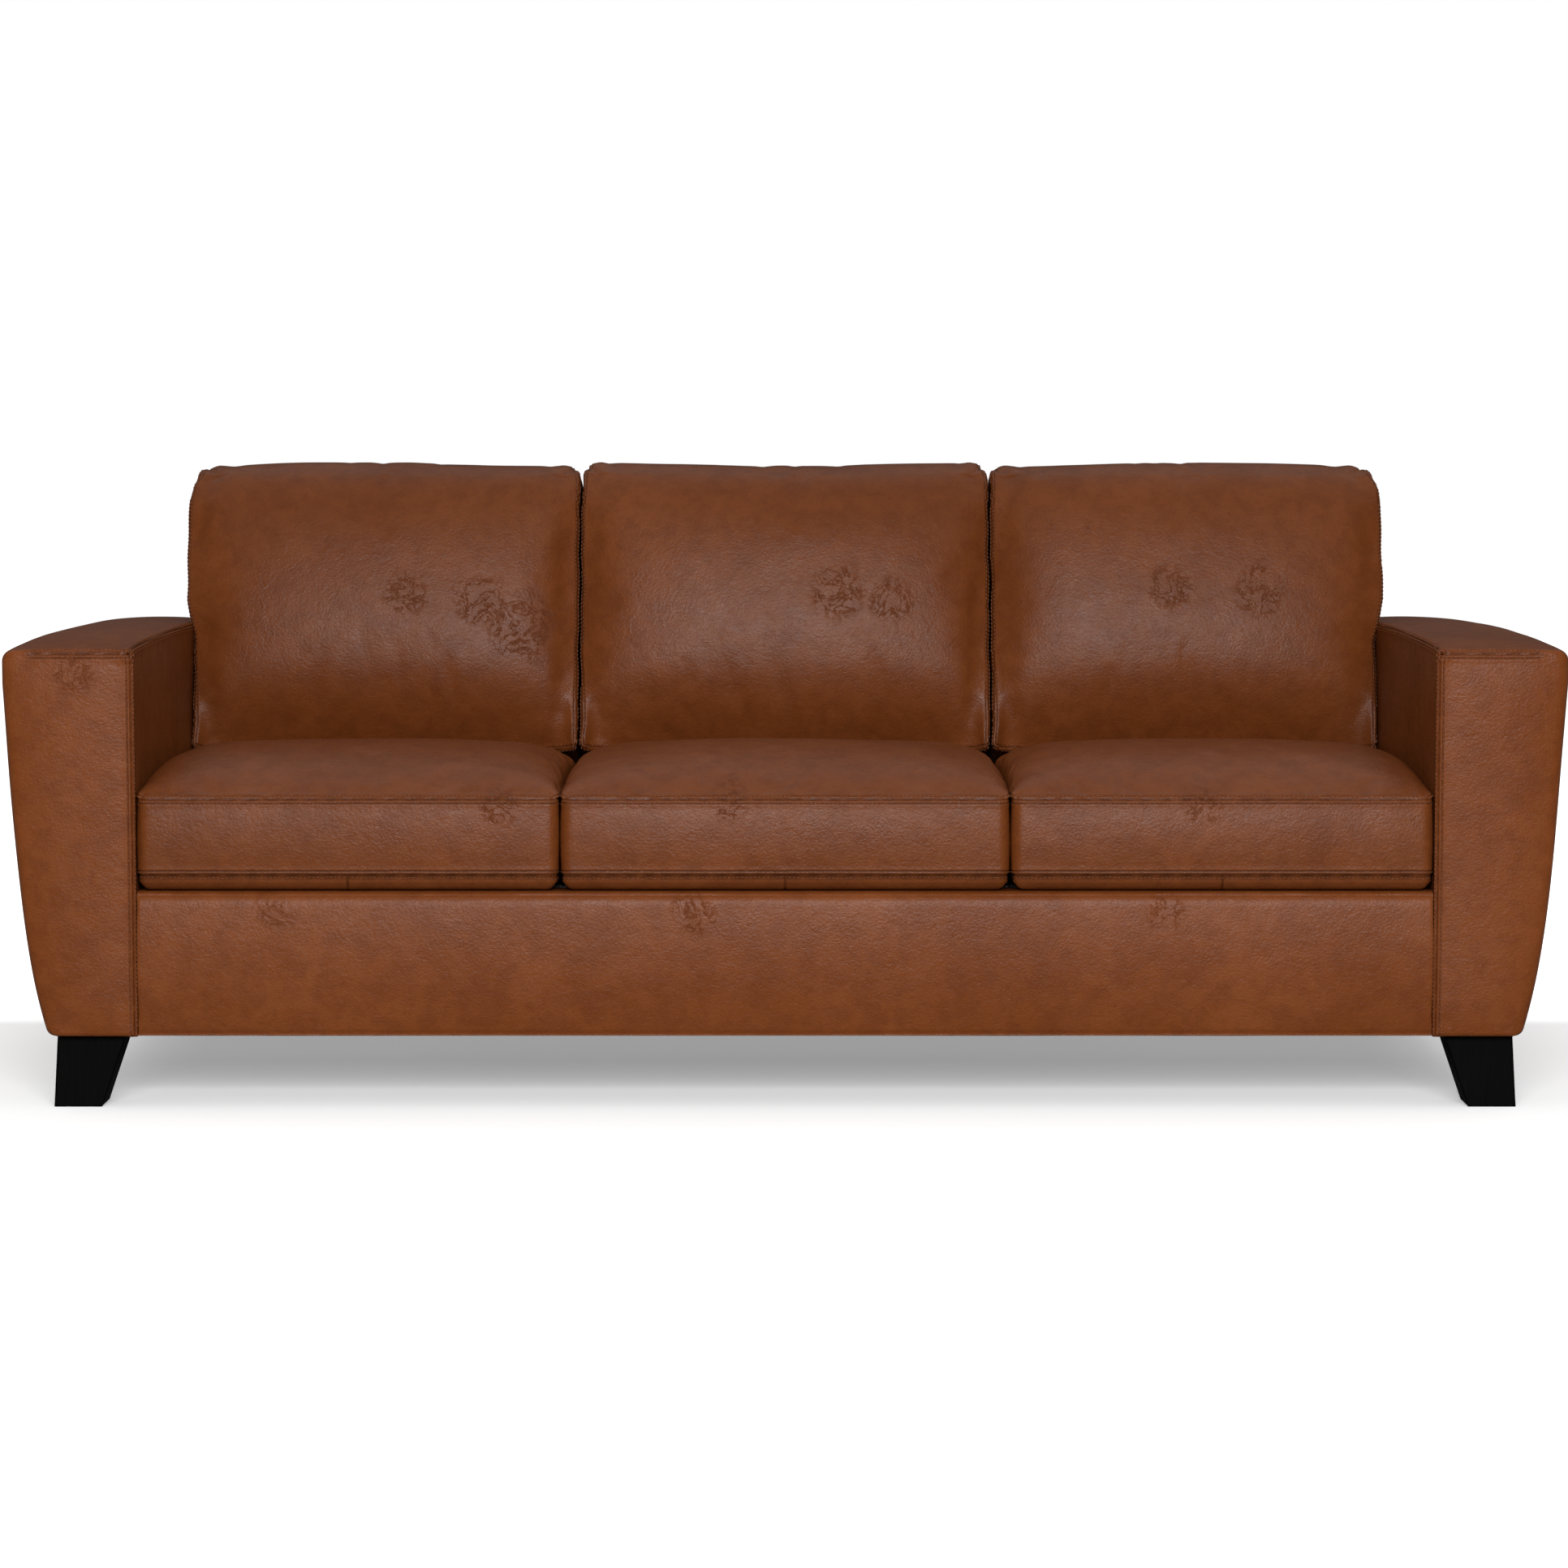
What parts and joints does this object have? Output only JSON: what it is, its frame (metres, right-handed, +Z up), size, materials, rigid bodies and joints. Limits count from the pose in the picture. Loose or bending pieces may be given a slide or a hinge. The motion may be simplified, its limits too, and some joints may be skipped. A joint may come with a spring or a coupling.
{
  "type": "three-seat sofa",
  "caption": "Leather sofa with flared box arms, loose seat and back cushions on a sprung timber frame, and short tapered dark wooden legs.",
  "frame": {"origin": "on the floor at the centre of the footprint", "axes": "+X to the right as seen from the front, -Y towards the sitter's feet, +Z up"},
  "size_m": [2.184, 0.965, 0.8986],
  "materials": {
    "leather": "satin",
    "leg_wood": "satin",
    "timber": "matte",
    "plywood": "matte",
    "fibreboard": "matte",
    "steel": "satin",
    "foam": "matte",
    "deck_cloth": "matte",
    "dust_cloth": "matte",
    "webbing": "matte",
    "zip": "satin"
  },
  "bodies": {
    "frame": {"front_left_leg": "leg_wood", "front_right_leg": "leg_wood", "rear_left_leg": "leg_wood", "rear_right_leg": "leg_wood", "leg_plates": "steel", "hanger_bolts": "steel", "leg_blocks": "timber", "dust_cover": "dust_cloth", "front_rail": "timber", "rear_rail": "timber", "end_rails": "timber", "seat_stretchers": "timber", "left_arm_inner_board": "plywood", "right_arm_inner_board": "plywood", "arm_front_formers": "plywood", "arm_rear_formers": "plywood", "arm_top_boards": "timber", "arm_outer_panels": "fibreboard", "back_posts": "timber", "back_top_rail": "timber", "back_lower_rail": "timber", "back_webbing": "webbing", "seat_springs": "steel", "spring_clips": "steel", "spring_tie_wires": "steel", "deck_pad": "foam", "deck_cloth": "deck_cloth", "left_arm_foam": "foam", "right_arm_foam": "foam", "front_rail_foam": "foam", "back_foam": "foam", "left_arm_front_cover": "leather", "right_arm_front_cover": "leather", "left_arm_side_cover": "leather", "right_arm_side_cover": "leather", "left_arm_inner_cover": "leather", "right_arm_inner_cover": "leather", "arm_rear_covers": "leather", "front_rail_cover": "leather", "inside_back_cover": "leather", "outside_back_cover": "leather"},
    "left_seat_cushion": {"left_seat_cover": "leather", "left_seat_core": "foam", "left_seat_zip": "zip"},
    "left_back_cushion": {"left_back_cover": "leather", "left_back_core": "foam", "left_back_zip": "zip"},
    "middle_seat_cushion": {"middle_seat_cover": "leather", "middle_seat_core": "foam", "middle_seat_zip": "zip"},
    "middle_back_cushion": {"middle_back_cover": "leather", "middle_back_core": "foam", "middle_back_zip": "zip"},
    "right_seat_cushion": {"right_seat_cover": "leather", "right_seat_core": "foam", "right_seat_zip": "zip"},
    "right_back_cushion": {"right_back_cover": "leather", "right_back_core": "foam", "right_back_zip": "zip"}
  },
  "joints": [
    {"name": "left_seat_lift_out", "type": "slide", "parent": "frame", "child": "left_seat_cushion", "axis": [0, -0.9994, 0.0349], "range_m": [0, 0.74]},
    {"name": "middle_seat_lift_out", "type": "slide", "parent": "frame", "child": "middle_seat_cushion", "axis": [0, -0.9994, 0.0349], "range_m": [0, 0.74]},
    {"name": "right_seat_lift_out", "type": "slide", "parent": "frame", "child": "right_seat_cushion", "axis": [0, -0.9994, 0.0349], "range_m": [0, 0.74]},
    {"name": "left_back_lift_out", "type": "slide", "parent": "frame", "child": "left_back_cushion", "axis": [0, 0.2079, 0.9781], "range_m": [0, 0.45]},
    {"name": "middle_back_lift_out", "type": "slide", "parent": "frame", "child": "middle_back_cushion", "axis": [0, 0.2079, 0.9781], "range_m": [0, 0.45]},
    {"name": "right_back_lift_out", "type": "slide", "parent": "frame", "child": "right_back_cushion", "axis": [0, 0.2079, 0.9781], "range_m": [0, 0.45]}
  ]
}
